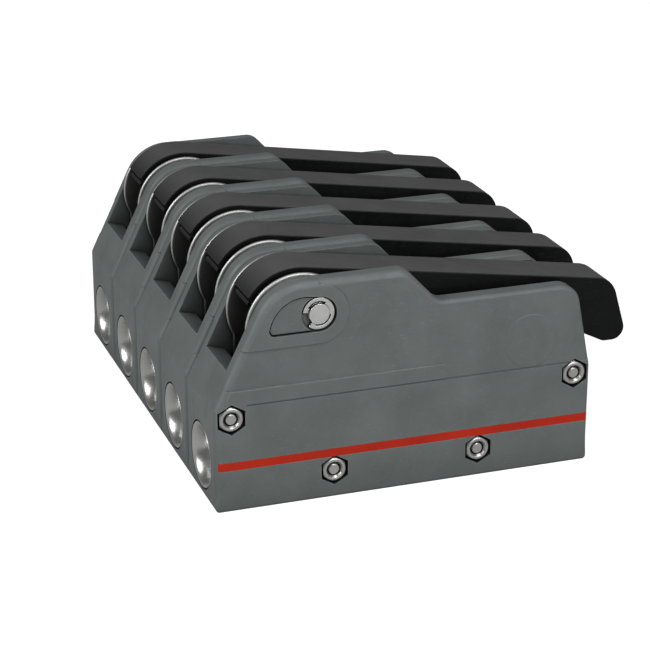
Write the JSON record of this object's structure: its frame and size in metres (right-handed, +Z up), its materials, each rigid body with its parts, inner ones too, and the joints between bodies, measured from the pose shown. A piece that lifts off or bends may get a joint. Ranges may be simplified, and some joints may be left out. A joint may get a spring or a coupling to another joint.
{
  "type": "rope_clutch",
  "caption": "Bank of side-by-side lever rope clutches: dark moulded casings, black cam levers over toothed jaws, steel rope bushes at both ends, through-bolted side by side",
  "frame": {"origin": "centre of the flat mounting face on the deck", "axes": "+X along the ropes towards the rear of the casings, where the closed levers point; +Y across the bank; +Z up from the deck"},
  "size_m": [0.1308, 0.15, 0.069],
  "materials": {
    "casing": "dark grey moulded plastic with a fine grain, glass-fibre filled",
    "lever": "near-black moulded plastic with a satin sheen on top",
    "stripe": "red inlaid plastic strip",
    "bush_steel": "polished stainless steel bell mouth",
    "plate_steel": "stamped stainless steel plate",
    "pin_steel": "turned stainless steel",
    "fastener_steel": "stainless steel, M4",
    "spring_wire": "stainless spring wire",
    "jaw_alloy": "cast alloy, dull"
  },
  "bodies": {
    "bank": {"front_bushes": "bush_steel", "rear_bushes": "bush_steel", "side_stripes": "stripe", "lower_jaws": "jaw_alloy", "side_frames": "plate_steel", "anchor_pins": "pin_steel", "pivot_pin": "pin_steel", "pivot_clip": "pin_steel", "cross_bolts": "fastener_steel", "hex_nuts": "fastener_steel", "housing_1": "casing", "housing_2": "casing", "housing_3": "casing", "housing_4": "casing", "housing_5": "casing", "return_spring_1": "spring_wire", "return_spring_2": "spring_wire", "return_spring_3": "spring_wire", "return_spring_4": "spring_wire", "return_spring_5": "spring_wire"},
    "lever_1": {"lever_1": "lever", "cam_plates_1": "plate_steel", "cam_dowels_1": "pin_steel"},
    "front_link_1": {"front_links_1": "jaw_alloy"},
    "rear_link_1": {"rear_links_1": "jaw_alloy"},
    "jaw_1": {"jaw_1": "jaw_alloy", "jaw_pins_1": "pin_steel"},
    "lever_2": {"lever_2": "lever", "cam_plates_2": "plate_steel", "cam_dowels_2": "pin_steel"},
    "front_link_2": {"front_links_2": "jaw_alloy"},
    "rear_link_2": {"rear_links_2": "jaw_alloy"},
    "jaw_2": {"jaw_2": "jaw_alloy", "jaw_pins_2": "pin_steel"},
    "lever_3": {"lever_3": "lever", "cam_plates_3": "plate_steel", "cam_dowels_3": "pin_steel"},
    "front_link_3": {"front_links_3": "jaw_alloy"},
    "rear_link_3": {"rear_links_3": "jaw_alloy"},
    "jaw_3": {"jaw_3": "jaw_alloy", "jaw_pins_3": "pin_steel"},
    "lever_4": {"lever_4": "lever", "cam_plates_4": "plate_steel", "cam_dowels_4": "pin_steel"},
    "front_link_4": {"front_links_4": "jaw_alloy"},
    "rear_link_4": {"rear_links_4": "jaw_alloy"},
    "jaw_4": {"jaw_4": "jaw_alloy", "jaw_pins_4": "pin_steel"},
    "lever_5": {"lever_5": "lever", "cam_plates_5": "plate_steel", "cam_dowels_5": "pin_steel"},
    "front_link_5": {"front_links_5": "jaw_alloy"},
    "rear_link_5": {"rear_links_5": "jaw_alloy"},
    "jaw_5": {"jaw_5": "jaw_alloy", "jaw_pins_5": "pin_steel"}
  },
  "joints": [
    {"name": "lever_hinge_1", "type": "hinge", "parent": "bank", "child": "lever_1", "pos_m": [-0.0268, -0.06, 0.057], "axis": [0, -1, 0], "range_deg": [0, 130]},
    {"name": "front_link_swing_1", "type": "hinge", "parent": "bank", "child": "front_link_1", "pos_m": [-0.01, -0.06, 0.0406], "axis": [0, -1, 0], "range_deg": [0, 33], "deforming": ["return_spring_1"]},
    {"name": "rear_link_swing_1", "type": "hinge", "parent": "bank", "child": "rear_link_1", "pos_m": [0.018, -0.06, 0.0406], "axis": [0, -1, 0], "range_deg": [0, 33]},
    {"name": "jaw_swing_1", "type": "hinge", "parent": "front_link_1", "child": "jaw_1", "pos_m": [-0.00082, -0.06, 0.02749], "axis": [0, -1, 0], "range_deg": [-33, 0]},
    {"name": "lever_hinge_2", "type": "hinge", "parent": "bank", "child": "lever_2", "pos_m": [-0.0268, -0.03, 0.057], "axis": [0, -1, 0], "range_deg": [0, 130]},
    {"name": "front_link_swing_2", "type": "hinge", "parent": "bank", "child": "front_link_2", "pos_m": [-0.01, -0.03, 0.0406], "axis": [0, -1, 0], "range_deg": [0, 33], "deforming": ["return_spring_2"]},
    {"name": "rear_link_swing_2", "type": "hinge", "parent": "bank", "child": "rear_link_2", "pos_m": [0.018, -0.03, 0.0406], "axis": [0, -1, 0], "range_deg": [0, 33]},
    {"name": "jaw_swing_2", "type": "hinge", "parent": "front_link_2", "child": "jaw_2", "pos_m": [-0.00082, -0.03, 0.02749], "axis": [0, -1, 0], "range_deg": [-33, 0]},
    {"name": "lever_hinge_3", "type": "hinge", "parent": "bank", "child": "lever_3", "pos_m": [-0.0268, 0, 0.057], "axis": [0, -1, 0], "range_deg": [0, 130]},
    {"name": "front_link_swing_3", "type": "hinge", "parent": "bank", "child": "front_link_3", "pos_m": [-0.01, 0, 0.0406], "axis": [0, -1, 0], "range_deg": [0, 33], "deforming": ["return_spring_3"]},
    {"name": "rear_link_swing_3", "type": "hinge", "parent": "bank", "child": "rear_link_3", "pos_m": [0.018, 0, 0.0406], "axis": [0, -1, 0], "range_deg": [0, 33]},
    {"name": "jaw_swing_3", "type": "hinge", "parent": "front_link_3", "child": "jaw_3", "pos_m": [-0.00082, 0, 0.02749], "axis": [0, -1, 0], "range_deg": [-33, 0]},
    {"name": "lever_hinge_4", "type": "hinge", "parent": "bank", "child": "lever_4", "pos_m": [-0.0268, 0.03, 0.057], "axis": [0, -1, 0], "range_deg": [0, 130]},
    {"name": "front_link_swing_4", "type": "hinge", "parent": "bank", "child": "front_link_4", "pos_m": [-0.01, 0.03, 0.0406], "axis": [0, -1, 0], "range_deg": [0, 33], "deforming": ["return_spring_4"]},
    {"name": "rear_link_swing_4", "type": "hinge", "parent": "bank", "child": "rear_link_4", "pos_m": [0.018, 0.03, 0.0406], "axis": [0, -1, 0], "range_deg": [0, 33]},
    {"name": "jaw_swing_4", "type": "hinge", "parent": "front_link_4", "child": "jaw_4", "pos_m": [-0.00082, 0.03, 0.02749], "axis": [0, -1, 0], "range_deg": [-33, 0]},
    {"name": "lever_hinge_5", "type": "hinge", "parent": "bank", "child": "lever_5", "pos_m": [-0.0268, 0.06, 0.057], "axis": [0, -1, 0], "range_deg": [0, 130]},
    {"name": "front_link_swing_5", "type": "hinge", "parent": "bank", "child": "front_link_5", "pos_m": [-0.01, 0.06, 0.0406], "axis": [0, -1, 0], "range_deg": [0, 33], "deforming": ["return_spring_5"]},
    {"name": "rear_link_swing_5", "type": "hinge", "parent": "bank", "child": "rear_link_5", "pos_m": [0.018, 0.06, 0.0406], "axis": [0, -1, 0], "range_deg": [0, 33]},
    {"name": "jaw_swing_5", "type": "hinge", "parent": "front_link_5", "child": "jaw_5", "pos_m": [-0.00082, 0.06, 0.02749], "axis": [0, -1, 0], "range_deg": [-33, 0]}
  ],
  "couplings": [
    {"joint": "front_link_swing_1", "follows": "lever_hinge_1", "ratio": 0.25385},
    {"joint": "rear_link_swing_1", "follows": "lever_hinge_1", "ratio": 0.25385},
    {"joint": "jaw_swing_1", "follows": "lever_hinge_1", "ratio": -0.25385},
    {"joint": "front_link_swing_2", "follows": "lever_hinge_2", "ratio": 0.25385},
    {"joint": "rear_link_swing_2", "follows": "lever_hinge_2", "ratio": 0.25385},
    {"joint": "jaw_swing_2", "follows": "lever_hinge_2", "ratio": -0.25385},
    {"joint": "front_link_swing_3", "follows": "lever_hinge_3", "ratio": 0.25385},
    {"joint": "rear_link_swing_3", "follows": "lever_hinge_3", "ratio": 0.25385},
    {"joint": "jaw_swing_3", "follows": "lever_hinge_3", "ratio": -0.25385},
    {"joint": "front_link_swing_4", "follows": "lever_hinge_4", "ratio": 0.25385},
    {"joint": "rear_link_swing_4", "follows": "lever_hinge_4", "ratio": 0.25385},
    {"joint": "jaw_swing_4", "follows": "lever_hinge_4", "ratio": -0.25385},
    {"joint": "front_link_swing_5", "follows": "lever_hinge_5", "ratio": 0.25385},
    {"joint": "rear_link_swing_5", "follows": "lever_hinge_5", "ratio": 0.25385},
    {"joint": "jaw_swing_5", "follows": "lever_hinge_5", "ratio": -0.25385}
  ]
}
